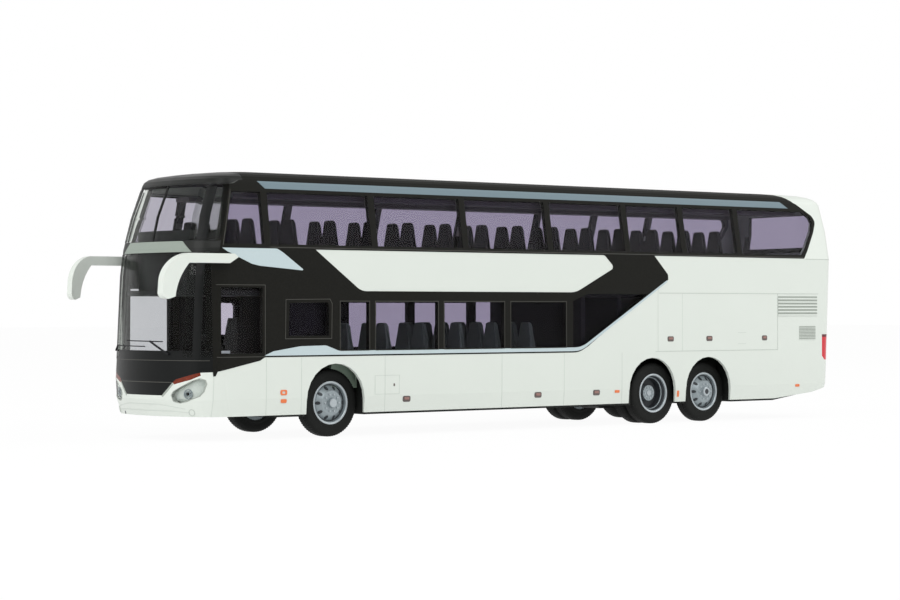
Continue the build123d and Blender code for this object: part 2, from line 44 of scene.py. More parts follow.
# Lengths along the body are counted in mm from a datum near the tail, forward to the nose.
body = {
    "midX": 82.5, "seam": 155.2, "tailCorner": 2.5, "tailCrown": 100.0,
    "height": [4.15, 7.0, 10.2, 28.0, 32.5, 38.0, 43.7, 44.3, 44.8, 45.2, 45.6, 45.9, 46.0],
    "half": [14.40, 14.62, 14.65, 14.65, 14.65, 13.45, 12.20, 11.95, 11.50, 10.80, 9.20, 6.20, 3.00],
    "nose": [159.3, 160.1, 160.2, 158.85, 158.3, 156.95, 154.6, 154.2, 153.5, 152.2, 149.6, 145.5, 141.0],
    "tail": [1.6, 0.6, 0.4, -0.4, -0.6, -0.7, 0.1, 0.6, 1.2, 2.2, 3.8, 6.3, 9.0],
    "noseCorner": [5.8, 5.8, 5.2, 4.6, 5.6, 5.2, 3.6, 3.4, 3.4, 4.0, 4.5, 3.6, 1.8],
    "noseCrown": [30, 30, 30, 35, 37, 40, 46, 48, 50, 55, 60, 60, 60],
}


# Colour: a byte value as the eye sees it, turned to the linear value that a shader takes.
def tone(*seen):
    return tuple(((c / 255 + 0.055) / 1.055) ** 2.4 if c > 10 else c / 255 / 12.92 for c in seen)


# Moulded or printed plastic: grain is the bump's depth, fleck the change of colour over grainSize mm.
def plastic(name, colour, roughness, fleck=0.04, grainSize=0.5, grain=0.15, shine=0.5, coat=0.0, metal=0.0):
    mat = bpy.data.materials.new(name)
    mat.use_nodes = True
    nodes, links = mat.node_tree.nodes, mat.node_tree.links
    shader = nodes["Principled BSDF"]
    place = nodes.new("ShaderNodeTexCoord")
    cloud = nodes.new("ShaderNodeTexNoise")
    cloud.inputs["Scale"].default_value = 1 / (grainSize * mm)
    cloud.inputs["Detail"].default_value = 3.0
    links.new(place.outputs["Object"], cloud.inputs["Vector"])
    shade = nodes.new("ShaderNodeMix")
    shade.data_type = "RGBA"
    shade.inputs["A"].default_value = (*[c * (1 - fleck) for c in colour], 1)
    shade.inputs["B"].default_value = (*[min(c * (1 + fleck), 1) for c in colour], 1)
    links.new(cloud.outputs["Fac"], shade.inputs["Factor"])
    links.new(shade.outputs["Result"], shader.inputs["Base Color"])
    worn = nodes.new("ShaderNodeMapRange")
    worn.inputs["To Min"].default_value = max(roughness - 0.06, 0.02)
    worn.inputs["To Max"].default_value = min(roughness + 0.06, 1.0)
    links.new(cloud.outputs["Fac"], worn.inputs["Value"])
    links.new(worn.outputs["Result"], shader.inputs["Roughness"])
    bump = nodes.new("ShaderNodeBump")
    bump.inputs["Strength"].default_value = grain
    bump.inputs["Distance"].default_value = 0.02 * mm
    links.new(cloud.outputs["Fac"], bump.inputs["Height"])
    links.new(bump.outputs["Normal"], shader.inputs["Normal"])
    shader.inputs["Specular IOR Level"].default_value = shine
    shader.inputs["Metallic"].default_value = metal
    shader.inputs["Coat Weight"].default_value = coat
    shader.inputs["Coat Roughness"].default_value = 0.06
    return mat


# Clear moulded plastic: light passes with the tint once in each pane; a low index keeps reflections faint.
def clearPlastic(name, tint, roughness=0.02, ior=1.14):
    mat = plastic(name, tint, roughness, fleck=0.01, grainSize=6.0, grain=0.02)
    shader = mat.node_tree.nodes["Principled BSDF"]
    shader.inputs["Transmission Weight"].default_value = 1.0
    shader.inputs["IOR"].default_value = ior
    for link in list(shader.inputs["Roughness"].links):
        mat.node_tree.links.remove(link)
    shader.inputs["Roughness"].default_value = roughness
    return mat


finish = {
    "white": plastic("whiteMoulding", tone(214, 220, 213), 0.36, fleck=0.012, grainSize=9.0, grain=0.04,
                     shine=0.4),
    "black": plastic("blackPrint", tone(26, 26, 23), 0.55, fleck=0.35, grainSize=0.28, grain=0.4, shine=0.08),
    "mask": plastic("blackMoulding", tone(16, 18, 18), 0.32, fleck=0.08, grainSize=0.6, grain=0.06,
                    shine=0.14),
    "gloss": plastic("blackGloss", tone(24, 26, 24), 0.35, fleck=0.05, grainSize=3.0, grain=0.03, shine=0.22),
    "sideGlass": clearPlastic("lavenderGlazing", (0.50, 0.47, 0.56)),
    "frontGlass": clearPlastic("smokeGlazing", (0.82, 0.84, 0.82)),
    # Darker grey glazing laid where the screens turn round the corners: painted shade for the glass seen
    # edge-on.
    "edgeShadeGlass": clearPlastic("paintedEdgeShadeGlazing", (0.60, 0.62, 0.60)),
    "cabGlass": clearPlastic("clearGlazing", (0.93, 0.92, 0.94)),
    "doorGlass": clearPlastic("paleGlazing", (0.62, 0.62, 0.66)),
    "band": plastic("greyGreenPrint", tone(142, 152, 143), 0.4, fleck=0.05, grainSize=0.4, shine=0.3),
    "paleBlue": plastic("paleBluePrint", tone(186, 201, 204), 0.4, fleck=0.03, grainSize=0.4, shine=0.3),
    "roofStripe": plastic("slateStripePrint", tone(110, 128, 136), 0.42, fleck=0.06, grainSize=0.4,
                          shine=0.25),
    "lens": clearPlastic("clearLens", (0.93, 0.95, 0.94), 0.03, 1.12),
    "amber": plastic("amberLacquer", tone(108, 36, 12), 0.25, fleck=0.35, grainSize=0.8, shine=0.3),
    "red": plastic("redLacquer", tone(200, 15, 38), 0.22, fleck=0.1, grainSize=0.3, coat=0.3),
    "darkRed": plastic("darkRedLacquer", tone(95, 30, 38), 0.25, fleck=0.1, grainSize=0.3),
    "interior": plastic("interiorMoulding", tone(22, 23, 26), 0.55, fleck=0.08, grainSize=0.6, shine=0.2),
    "shelf": plastic("shelfMoulding", tone(96, 90, 98), 0.5, fleck=0.1, grainSize=0.6, shine=0.25),
    "lowerSeat": plastic("lowerSeatMoulding", tone(122, 138, 124), 0.5, fleck=0.12, grainSize=0.5,
                         shine=0.25),
    "chassis": plastic("chassisMoulding", tone(34, 36, 34), 0.6, fleck=0.1, grainSize=0.5, shine=0.25),
    "tyre": plastic("softTyre", tone(12, 14, 12), 0.7, fleck=0.18, grainSize=0.5, grain=0.3, shine=0.25),
    "rim": plastic("silverLacquer", tone(150, 160, 164), 0.38, fleck=0.1, grainSize=0.25, grain=0.25,
                   metal=0.45),
    # Dark grey: painted shade in the wheels' hand holes, groove and drive barrel; also used for the roof's
    # lines and the tow eye.
    "rimShade": plastic("rimShade", tone(52, 56, 60), 0.45, fleck=0.2, grainSize=0.3, metal=0.3),
    "hub": plastic("hubLacquer", tone(178, 186, 190), 0.3, fleck=0.08, grainSize=0.25, metal=0.5),
    "steel": plastic("steelPin", tone(150, 150, 150), 0.35, fleck=0.05, grainSize=0.2, metal=1.0),
    "reflector": plastic("silverReflector", tone(205, 212, 206), 0.3, fleck=0.15, grainSize=0.6, metal=0.25),
    "line": plastic("panelGap", tone(186, 193, 186), 0.5, fleck=0.03, grainSize=0.4),
    # Soft grey for the fine panel gaps and the bare plate field, and as painted shade along the bumper's
    # creases.
    "softLine": plastic("softPanelGapAndCreaseShade", tone(201, 208, 201), 0.5, fleck=0.03, grainSize=0.4),
    "paleLine": plastic("paleOutline", tone(68, 68, 63), 0.45, fleck=0.15, grainSize=0.3, shine=0.3),
    "handle": plastic("recessShade", tone(96, 86, 84), 0.5, fleck=0.15, grainSize=0.3),
    "handlePull": plastic("recessPull", tone(148, 112, 104), 0.45, fleck=0.15, grainSize=0.3),
    "orange": plastic("orangeMarker", tone(226, 118, 66), 0.35, fleck=0.12, grainSize=0.3),
    "ventShade": plastic("ventShade", tone(158, 165, 157), 0.5, fleck=0.05, grainSize=0.4),
}

nodeFinish = {
    "body_shell": "white", "roof_panel": "black", "roof_cap": "gloss", "upper_windscreen": "frontGlass",
    "front_band": "gloss", "lower_windscreen": "frontGlass", "front_mask": "mask", "front_bumper": "white",
    "grille_panel": "mask", "indicators": "amber", "headlight_left": "lens", "headlight_right": "lens",
    "tail_lights": "red", "rear_screen": "sideGlass", "upper_glazing_left": "sideGlass",
    "upper_glazing_right": "sideGlass", "lower_glazing_left": "sideGlass", "lower_glazing_right": "sideGlass",
    "cab_glass_left": "cabGlass", "door_glass_right": "doorGlass", "chassis": "chassis",
    "mirror_left": "white", "mirror_right": "white", "luggage_shelves": "shelf",
}
wheelFinish = {"_tyre_": "tyre", "_rim_": "rim", "_axle": "steel"}
for name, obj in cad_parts.items():
    kind = nodeFinish.get(name, "interior")
    for word, wheelKind in wheelFinish.items():
        kind = wheelKind if word in name else kind
    obj.data.materials.clear()
    obj.data.materials.append(finish[kind])
print("finishes set")


# Corner points with a radius each become arcs: the fillet's centre lies on the corner's bisector.
def rounded(corners, steps=6):
    points = np.array([c[:2] for c in corners], float)
    radii = [c[2] if len(c) > 2 else 0.0 for c in corners]
    outline = []
    for i, radius in enumerate(radii):
        here, before, after = points[i], points[i - 1], points[(i + 1) % len(points)]
        if radius <= 0:
            outline.append(here[None])
            continue
        into, out = before - here, after - here
        into, out = into / np.linalg.norm(into), out / np.linalg.norm(out)
        angle = math.acos(np.clip(into @ out, -1, 1))
        reach = radius / math.tan(angle / 2)
        bisector = (into + out) / np.linalg.norm(into + out)
        centre = here + bisector * radius / math.sin(angle / 2)
        start, end = here + into * reach - centre, here + out * reach - centre
        turn = math.atan2(start[0] * end[1] - start[1] * end[0], start @ end)
        sweep = np.linspace(0, turn, steps)[:, None]
        side = np.array([-start[1], start[0]])
        outline.append(centre + start * np.cos(sweep) + side * np.sin(sweep))
    return np.vstack(outline)


# Level values of the body at height z; the tail's radii are the same at all heights.
def level(z, key):
    return np.interp(z, body["height"], body[key]) if isinstance(body[key], list) else body[key]


# Half width at (x, z): the flank's, and past it the corner arc about its centre near the nose or tail.
def sideHalf(x, z):
    half = level(z, "half")
    result = half + 0 * x
    for end, sign in (("nose", 1), ("tail", -1)):
        crown, corner = level(z, end + "Crown"), np.minimum(level(z, end + "Corner"), 0.6 * half)
        along = np.sqrt((crown - corner) ** 2 - (half - corner) ** 2)
        depth = sign * (x - level(z, end)) + crown - along
        arc = half - corner + np.sqrt(np.clip(corner ** 2 - depth ** 2, 0, None))
        result = np.where(depth > 0, arc, result)
    return result


# Place of an end along x at (y, z): on the crown arc in the middle, on the corner arcs beside it.
def endX(y, z, end, sign):
    half = level(z, "half")
    crown, corner = level(z, end + "Crown"), np.minimum(level(z, end + "Corner"), 0.6 * half)
    along = np.sqrt((crown - corner) ** 2 - (half - corner) ** 2)
    shoulder = (half - corner) * crown / (crown - corner)
    onCrown = np.sqrt(crown ** 2 - np.clip(np.abs(y), 0, shoulder) ** 2) - crown
    onCorner = along - crown + np.sqrt(np.clip(corner ** 2 - (np.abs(y) - half + corner) ** 2, 0, None))
    return level(z, end) + sign * np.where(np.abs(y) < shoulder, onCrown, onCorner)


# Places on the body for a flat point (u, v): x and z on a flank, y and z on the front or rear.
def sidePlace(side):
    return lambda u, v: np.stack([u - body["midX"], side * sideHalf(u, v), v], -1)


def frontPlace(u, v):
    return np.stack([endX(u, v, "nose", 1) - body["midX"], u, v], -1)


def rearPlace(u, v):
    return np.stack([endX(u, v, "tail", -1) - body["midX"], u, v], -1)


# Height of the roof at (x, y): the highest level whose outline still holds the point, by halving.
def roofPlace(u, v):
    low, high = np.full(len(u), 30.0), np.full(len(u), 46.0)
    for _ in range(24):
        z = (low + high) / 2
        inside = (np.abs(v) < sideHalf(u, z)) & (u < endX(v, z, "nose", 1)) & (u > endX(v, z, "tail", -1))
        low, high = np.where(inside, z, low), np.where(inside, high, z)
    return np.stack([u - body["midX"], v, low], -1)


# Mesh object from arrays in mm, riding on a body.
def addPiece(name, points, faces, material, rider="coach", slot=None, smooth=False):
    mesh = bpy.data.meshes.new(name)
    mesh.from_pydata((np.asarray(points) * mm).tolist(), [], [tuple(f) for f in faces])
    mesh.update()
    if smooth:
        mesh.polygons.foreach_set("use_smooth", np.ones(len(mesh.polygons), bool))
    mesh.materials.append(material)
    obj = bpy.data.objects.new(name, mesh)
    bpy.context.scene.collection.objects.link(obj)
    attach(obj, rider)
    return obj


# Several shells as one: the faces of each count on from the points before it.
def joined(shells):
    starts = np.cumsum([0] + [len(points) for points, _ in shells])
    faces = [[i + start for i in face] for (_, faces), start in zip(shells, starts) for face in faces]
    return np.vstack([points for points, _ in shells]), faces


# Printed film: a flat outline with holes is cut into strips, laid on the body and given its thickness.
# lift is how far its outer face stands off the surface, in mm. The normal comes from the cross product
# of the steps along u and v, and the rim's edges are those that only one face uses.
def filmShell(outline, place, holes=(), lift=0.03, depth=0.03, stripU=(), stripV=()):
    loops = [[Vector((p[0], p[1], 0)) for p in loop] for loop in (outline, *holes)]
    flat = [p for loop in loops for p in loop]
    bm = bmesh.new()
    verts = [bm.verts.new(p) for p in flat]
    for tri in tessellate_polygon(loops):
        if len(set(tri)) == 3:
            bm.faces.new([verts[i] for i in tri])
    across = [((value, 0, 0), (1, 0, 0)) for value in stripU]
    across += [((0, value, 0), (0, 1, 0)) for value in stripV]
    for origin, normal in across:
        geometry = bm.verts[:] + bm.edges[:] + bm.faces[:]
        bmesh.ops.bisect_plane(bm, geom=geometry, dist=1e-5, plane_co=origin, plane_no=normal)
    bmesh.ops.remove_doubles(bm, verts=bm.verts, dist=1e-4)
    bmesh.ops.triangulate(bm, faces=bm.faces)
    sheet = bpy.data.meshes.new("sheet")
    bm.to_mesh(sheet)
    bm.free()
    flatPoints = np.empty(len(sheet.vertices) * 3)
    sheet.vertices.foreach_get("co", flatPoints)
    faces = np.empty(len(sheet.polygons) * 3, int)
    sheet.polygons.foreach_get("vertices", faces)
    bpy.data.meshes.remove(sheet)
    faces = faces.reshape(-1, 3)
    u, v = flatPoints.reshape(-1, 3)[:, 0], flatPoints.reshape(-1, 3)[:, 1]
    step = 0.02
    base = place(u, v)
    normal = np.cross(place(u + step, v) - place(u - step, v), place(u, v + step) - place(u, v - step))
    normal /= np.linalg.norm(normal, axis=1)[:, None]
    normal *= np.sign((normal * (base - np.array([0, 0, 20]))).sum(1))[:, None]
    outer, inner = base + normal * lift, base + normal * (lift - depth)
    a, b, c = [outer[faces[:, i]] for i in range(3)]
    turned = (np.cross(b - a, c - a) * normal[faces[:, 0]]).sum(1) < 0
    faces[turned] = faces[turned][:, ::-1]
    directed = np.vstack([faces[:, [0, 1]], faces[:, [1, 2]], faces[:, [2, 0]]])
    key = directed.min(1) * len(outer) + directed.max(1)
    _, first, counts = np.unique(key, return_index=True, return_counts=True)
    rim = directed[first[counts == 1]]
    count = len(outer)
    walls = np.stack([rim[:, 1], rim[:, 0], rim[:, 0] + count, rim[:, 1] + count], -1)
    return np.vstack([outer, inner]), faces.tolist() + (faces[:, ::-1] + count).tolist() + walls.tolist()


strips = {
    "level": [7.0, 10.2, 19.0, 28.0, 32.5, 35.2, 38.0, 40.8, 43.7, 44.3, 44.8, 45.2, 45.6, 45.9],
    "nose": list(np.arange(147.0, 155.2, 0.35)), "tail": list(np.arange(-0.6, 5.0, 0.35)),
    "front": list(np.arange(-14.4, 14.41, 0.45)), "rear": list(np.arange(-14.6, 14.61, 0.8)),
}


# Films for a flank, the front and the rear, each cut where its surface bends.
def sideFilm(outline, side, **spec):
    ends = strips["nose"] + strips["tail"]
    return filmShell(outline, sidePlace(side), stripU=ends, stripV=strips["level"], **spec)


def frontFilm(outline, **spec):
    return filmShell(outline, frontPlace, stripU=strips["front"], stripV=strips["level"], **spec)


def rearFilm(outline, **spec):
    return filmShell(outline, rearPlace, stripU=strips["rear"], stripV=strips["level"], **spec)


# Both flanks get the same shells; each side is a piece of its own.
def bothSides(name, material, specs, slot=None):
    for side, word in ((1, "left"), (-1, "right")):
        points, faces = joined([sideFilm(side=side, **spec) for spec in specs])
        addPiece(name + "_" + word, points, faces, finish[material], slot=slot)


# The same outline on the other side of the centre plane.
def flipped(outline):
    return [(-p[0], *p[1:]) for p in outline]


def rectangle(left, low, right, high):
    return [(left, low), (right, low), (right, high), (left, high)]


# Thin line along a path: each corner is pushed out both ways along its mitre by half the width.
def ribbon(path, width):
    points = np.array(path, float)
    along = np.diff(points, axis=0)
    along /= np.linalg.norm(along, axis=1)[:, None]
    across = np.stack([-along[:, 1], along[:, 0]], -1)
    before, after = np.vstack([across[:1], across]), np.vstack([across, across[-1:]])
    mitre = before + after
    mitre /= (1 + (before * after).sum(1))[:, None]
    return np.vstack([points + mitre * width / 2, (points - mitre * width / 2)[::-1]])


# Corner points moved inwards along their bisectors, so that every edge is drawn in by amount.
def inset(outline, amount):
    points = np.array([p[:2] for p in outline], float)
    centre = points.mean(0)
    before, after = np.roll(points, 1, 0) - points, np.roll(points, -1, 0) - points
    before /= np.linalg.norm(before, axis=1)[:, None]
    after /= np.linalg.norm(after, axis=1)[:, None]
    sine = np.abs(before[:, 0] * after[:, 1] - before[:, 1] * after[:, 0])
    inward = (before + after) / np.maximum(sine, 0.15)[:, None]
    inward *= np.sign((inward * (centre - points)).sum(1))[:, None]
    return points + inward * amount


# Closed line of the given width just inside an outline.
def loopLine(outline, width):
    return {"outline": outline, "holes": [inset(outline, width)]}


# Windows in side view, as cut in the body.
windows = [
    [(128.8, 15.1), (128.8, 23.5), (122.5, 23.5), (122.5, 15.1)],
    [(121.0, 15.1), (121.0, 23.5), (106.8, 23.5), (106.8, 15.1)],
    [(105.3, 15.1), (105.3, 23.5), (91.0, 23.5), (91.0, 15.1)],
    [(89.3, 15.1), (89.3, 23.5), (75.6, 23.5), (75.6, 15.1)],
    [(73.8, 15.1), (73.8, 23.7), (70.0, 25.1), (54.2, 25.1), (70.0, 15.1)],
    [(153.9, 14.7), (153.9, 25.9), (145.4, 25.9), (145.4, 14.7)],
    [(140.0, 17.6), (139.8, 23.3), (131.6, 23.4), (131.2, 22.8), (131.3, 17.6)],
    [(153.05, 33.2), (150.4, 42.2), (144.4, 42.2), (144.9, 33.2)],
    [(143.6, 33.2), (143.1, 42.2), (121.2, 42.2), (121.7, 33.2)],
    [(120.4, 33.2), (119.9, 42.2), (100.2, 42.2), (100.7, 33.2)],
    [(99.4, 33.2), (98.9, 42.2), (79.4, 42.2), (79.9, 33.2)],
    [(78.6, 33.2), (78.1, 42.2), (59.4, 42.2), (59.9, 33.2)],
    [(58.6, 33.2), (58.1, 42.2), (44.0, 42.2), (44.5, 33.2)],
    [(43.2, 33.2), (42.7, 42.2), (28.4, 42.2), (28.9, 33.2)],
    [(27.6, 33.2), (27.1, 42.2), (7.4, 42.2), (5.6, 41.1), (5.1, 40.0), (5.8, 38.2), (8.4, 34.7),
     (9.8, 33.2)],
]

# The black print goes through the wall's thickness, so that it also hides the reveals of the windows.
blackSide = {
    "outline": [(155.23, 10.95), (154.85, 11.0), (154.5, 11.75), (145.9, 13.5, 0.6), (145.0, 14.05, 1.0),
                (72.0, 14.05, 6.0), (48.55, 27.9), (48.6, 28.9, 0.7), (52.3, 32.5), (9.3, 32.5, 0.5),
                (7.8, 34.3, 2.0), (5.2, 38.0, 2.0), (4.1, 40.2, 1.2), (5.0, 41.4, 1.0), (9.0, 43.6),
                (10.2, 44.09), (148.6, 44.09), (149.6, 43.6), (150.54, 43.38), (153.44, 33.7),
                (153.94, 31.82), (155.23, 31.8)],
    "whitePanel": [(134.2, 32.45), (124.2, 25.35, 3.5), (73.0, 25.35, 6.0), (62.9, 30.1, 0.6),
                   (65.6, 32.45, 1.0)],
    "lift": 0.05, "depth": 1.0, "rim": 0.04,
}
openings = [inset(w, blackSide["rim"]) for w in windows] + [rounded(blackSide["whitePanel"])]
printSpec = {"outline": rounded(blackSide["outline"]), "holes": openings}
printSpec.update(lift=blackSide["lift"], depth=blackSide["depth"])
bothSides("blackSide", "black", [printSpec], slot="black")
print("black side zones laid")

stripes = {
    "roofStripe": {"finish": "roofStripe", "outline": [
        (144.8, 44.0), (143.3, 42.75), (11.8, 42.75), (14.0, 44.0)]},
    "bluePatch": {"finish": "paleBlue", "outline": [
        (153.4, 32.5), (152.6, 31.9), (150.7, 31.1), (147.6, 29.85, 2.0), (146.0, 29.55, 2.0), (137.0, 28.85),
        (136.9, 29.05), (141.2, 31.9, 1.0), (142.4, 32.5, 1.0)]},
    "blueBand": {"finish": "paleBlue", "outline": [
        (145.0, 14.35), (143.2, 15.05, 2.0), (137.5, 15.85, 6.0), (132.0, 15.95, 2.0), (129.2, 15.0, 2.0),
        (71.6, 15.0, 6.5), (49.0, 27.75), (48.75, 27.5), (71.8, 14.3, 6.5), (145.0, 14.3)]},
}
thinPrint = {"lift": 0.08, "depth": 0.04}
for name, spec in stripes.items():
    bothSides(name, spec["finish"], [{"outline": rounded(spec["outline"]), **thinPrint}], slot="black")
print("stripes laid")

# Fine lines: gaps between panels on the white, and the pale outlines of door and hatches on the black.
panelLines = {
    "width": {"gaps": 0.12, "softGaps": 0.12, "outlines": 0.1},
    "lift": {"gaps": 0.03, "softGaps": 0.025, "outlines": 0.08},
    "finish": {"gaps": "line", "softGaps": "softLine", "outlines": "paleLine"}, "depth": 0.04,
    "gaps": [[(51.0, 25.3), (5.0, 25.3)], [(52.0, 14.0), (17.3, 14.0)], [(17.3, 25.3), (17.3, 14.0)],
             [(8.9, 32.4), (-0.2, 32.4)]],
    "softGaps": [[(51.3, 27.5), (51.3, 14.0)], [(44.6, 25.3), (44.6, 14.0)], [(155.15, 4.2), (155.15, 10.9)],
                 [(144.6, 4.2), (144.6, 13.9)], [(137.2, 4.2), (137.2, 13.9)], [(118.9, 4.2), (118.9, 13.9)],
                 [(91.5, 4.2), (91.5, 13.9)], [(76.0, 4.2), (76.0, 13.9)], [(61.0, 4.2), (61.0, 13.9)],
                 [(28.9, 17.5), (26.6, 17.5)], [(28.9, 15.3), (26.6, 15.3)]],
    "outlines": [[(154.6, 26.3), (144.9, 26.3), (144.9, 14.2)], [(154.6, 14.15), (144.9, 14.15)],
                 [(9.5, 32.72), (143.9, 32.72)], [(153.2, 33.0), (150.55, 42.45)]],
    "loops": {"softGaps": [rectangle(115.6, 7.2, 121.2, 10.6)],
              "outlines": [[(140.7, 17.1), (140.6, 23.9), (131.1, 24.0), (130.6, 23.2), (130.7, 17.1)]]
              + [inset(w, -0.16) for w in windows[:4]]},
}
for name, material in panelLines["finish"].items():
    width = panelLines["width"][name]
    shells = [{"outline": ribbon(path, width)} for path in panelLines[name]]
    shells += [loopLine(path, width) for path in panelLines["loops"].get(name, [])]
    layer = {"lift": panelLines["lift"][name], "depth": panelLines["depth"]}
    bothSides(name, material, [{**shell, **layer} for shell in shells])
print("panel lines laid")

# Small marks on the flanks: centre x, centre z, width and height.
marks = {
    "handles": [(114.0, 6.3, 1.75, 1.05), (82.6, 6.3, 1.75, 1.05), (67.7, 6.4, 1.75, 1.05),
                (47.9, 16.4, 1.7, 1.0), (37.1, 16.4, 1.7, 1.0), (21.2, 16.4, 1.5, 1.0)],
    "markers": [(141.0, 6.55, 1.2, 0.65), (62.3, 6.5, 1.2, 0.5), (45.8, 5.7, 0.5, 1.2),
                (11.4, 6.65, 1.2, 0.5)],
    "ringMarker": (141.0, 8.0, 1.35, 0.9), "keyhole": (116.85, 8.85, 0.32, 0.5),
    "tailLampCap": (3.025, 16.75, 1.65, 0.5), "cornerShare": 0.3,
    "pull": {"rise": 0.1, "width": 0.62, "height": 0.42}, "ringHole": (0.5, 0.45),
    "layers": {"recess": {"lift": 0.05, "depth": 0.06}, "pull": {"lift": 0.14, "depth": 0.1},
               "marker": {"lift": 0.1, "depth": 0.1}, "flat": {"lift": 0.04, "depth": 0.05}},
}
layers = marks["layers"]


# Rectangle about a centre; the soft one has corners rounded by a share of its shorter side.
def mark(x, z, width, height):
    return rectangle(x - width / 2, z - height / 2, x + width / 2, z + height / 2)


def softMark(x, z, width, height):
    radius = min(width, height) * marks["cornerShare"]
    return rounded([(*p, radius) for p in mark(x, z, width, height)], 4)


bothSides("handleRecess", "handle", [{"outline": softMark(*m), **layers["recess"]} for m in marks["handles"]])
pull = marks["pull"]
pulls = [(x, z + pull["rise"], w * pull["width"], h * pull["height"]) for x, z, w, h in marks["handles"]]
bothSides("handlePull", "handlePull", [{"outline": softMark(*m), **layers["pull"]} for m in pulls])
x, z, width, height = marks["ringMarker"]
hole = mark(x, z, width * marks["ringHole"][0], height * marks["ringHole"][1])
shells = [{"outline": softMark(*m), **layers["marker"]} for m in marks["markers"]]
shells.append({"outline": softMark(x, z, width, height), "holes": [hole], **layers["marker"]})
bothSides("sideMarkers", "orange", shells)
bothSides("keyhole", "handle", [{"outline": softMark(*marks["keyhole"]), **layers["flat"]}])
bothSides("tailLampCap", "darkRed", [{"outline": mark(*marks["tailLampCap"]), **layers["flat"]}])

# Louvres: a shaded field with white slats standing out of it.
louvres = [
    {"field": (5.4, 20.85, 17.2, 24.8), "slats": 6, "share": 0.45},
    {"field": (5.9, 16.0, 10.8, 18.7), "slats": 9, "share": 0.35},
]
fields, slats = [], []
for vent in louvres:
    left, low, right, high = vent["field"]
    fields.append({"outline": rectangle(left, low, right, high), "lift": 0.03, "depth": 0.04})
    pitch = (high - low) / vent["slats"]
    for number in range(vent["slats"]):
        base = low + number * pitch
        slat = rectangle(left, base, right, base + pitch * vent["share"])
        slats.append({"outline": slat, "lift": 0.14, "depth": 0.13})
bothSides("louvreField", "ventShade", fields)
bothSides("louvreSlats", "white", slats, slot="body")
print("side details set")

# Front: band, lines, trims, lamps and wipers; u runs across, v up.
front = {
    "band": [(-10.3, 31.82), (10.3, 31.82), (8.0, 33.68), (-8.0, 33.68)],
    "grilleEdge": [(-7.8, 9.93), (7.8, 9.93)], "maskLine": [(-13.9, 13.6), (13.9, 13.6)],
    "trim": [(7.95, 9.75), (6.62, 8.5), (5.5, 7.55)], "trimWidth": 0.3,
    "creaseShades": [[(-10.0, 5.6), (-4.7, 6.2), (4.7, 6.2), (10.0, 5.5)],
                [(-11.5, 4.9), (-7, 5.1), (7, 5.1), (11.5, 4.8)]],
    "divider": [(0, 33.75), (0, 43.35)], "dividerWidth": 0.3, "lineWidth": 0.1, "edgeWidth": 0.12,
    "creaseShadeWidth": 0.14,
    "printLayer": {"lift": 0.05, "depth": 0.06}, "lineLayer": {"lift": 0.02, "depth": 0.03},
}
printLayer, lineLayer = front["printLayer"], front["lineLayer"]
points, faces = joined([frontFilm(front["band"], **printLayer)])
addPiece("frontBandPrint", points, faces, finish["band"])
points, faces = joined([frontFilm(ribbon(front["maskLine"], front["lineWidth"]), **lineLayer),
                        frontFilm(ribbon(front["grilleEdge"], front["edgeWidth"]), lift=0.06, depth=0.07)])
addPiece("maskLines", points, faces, finish["paleLine"])
trims = [ribbon(path, front["trimWidth"]) for path in (front["trim"], flipped(front["trim"]))]
points, faces = joined([frontFilm(trim, **printLayer) for trim in trims])
addPiece("grilleTrim", points, faces, finish["ventShade"])
# Darker grey lines along the bumper's creases: painted shade where the surface folds.
creaseShades = [ribbon(path, front["creaseShadeWidth"]) for path in front["creaseShades"]]
points, faces = joined([frontFilm(creaseShade, **lineLayer) for creaseShade in creaseShades])
addPiece("bumperCreaseShade", points, faces, finish["softLine"])
points, faces = joined([frontFilm(ribbon(front["divider"], front["dividerWidth"]), lift=0.03, depth=0.5)])
addPiece("screenDivider", points, faces, finish["gloss"])

# Darker grey films on both screens where they turn round the corners, as painted shade for the glass seen
# edge-on, and the dark print on each corner.
screenEdges = {
    "edgeShade": {"upper": [(9.4, 34.0), (13.75, 34.0), (12.2, 42.6), (8.8, 42.6)],
              "lower": [(9.8, 14.2), (14.2, 14.2), (14.2, 30.8), (9.8, 30.8)]},
    "pillars": [[(10.9, 33.8), (12.5, 33.8), (11.6, 42.9), (10.2, 42.9)],
                [(11.6, 13.7), (12.9, 13.7), (12.8, 31.7), (11.5, 31.7)]],
    "pillarLift": 0.04,
}
for name, outline in screenEdges["edgeShade"].items():
    points, faces = joined([frontFilm(shape, **lineLayer) for shape in (outline, flipped(outline))])
    addPiece(name + "EdgeShade", points, faces, finish["edgeShadeGlass"])
pillars = [shape for outline in screenEdges["pillars"] for shape in (outline, flipped(outline))]
points, faces = joined([frontFilm(p, lift=screenEdges["pillarLift"], depth=0.03) for p in pillars])
addPiece("pillarPrint", points, faces, finish["mask"])

wipers = {
    "blades": [[(-5.6, 16.85), (5.2, 16.75)], [(-11.0, 16.0), (0.5, 15.9)]],
    "arms": [[(6.9, 14.6), (2.1, 16.8)], [(-11.6, 15.1), (-10.2, 16.0)]],
    "bladeWidth": 0.17, "armWidth": 0.26, "bladeLift": 0.25, "armLift": 0.35, "depth": 0.25,
}
shells = []
for part in ("blade", "arm"):
    layer = {"lift": wipers[part + "Lift"], "depth": wipers["depth"]}
    shells += [frontFilm(ribbon(path, wipers[part + "Width"]), **layer) for path in wipers[part + "s"]]
points, faces = joined(shells)
addPiece("wipers", points, faces, finish["interior"])
print("front details set")


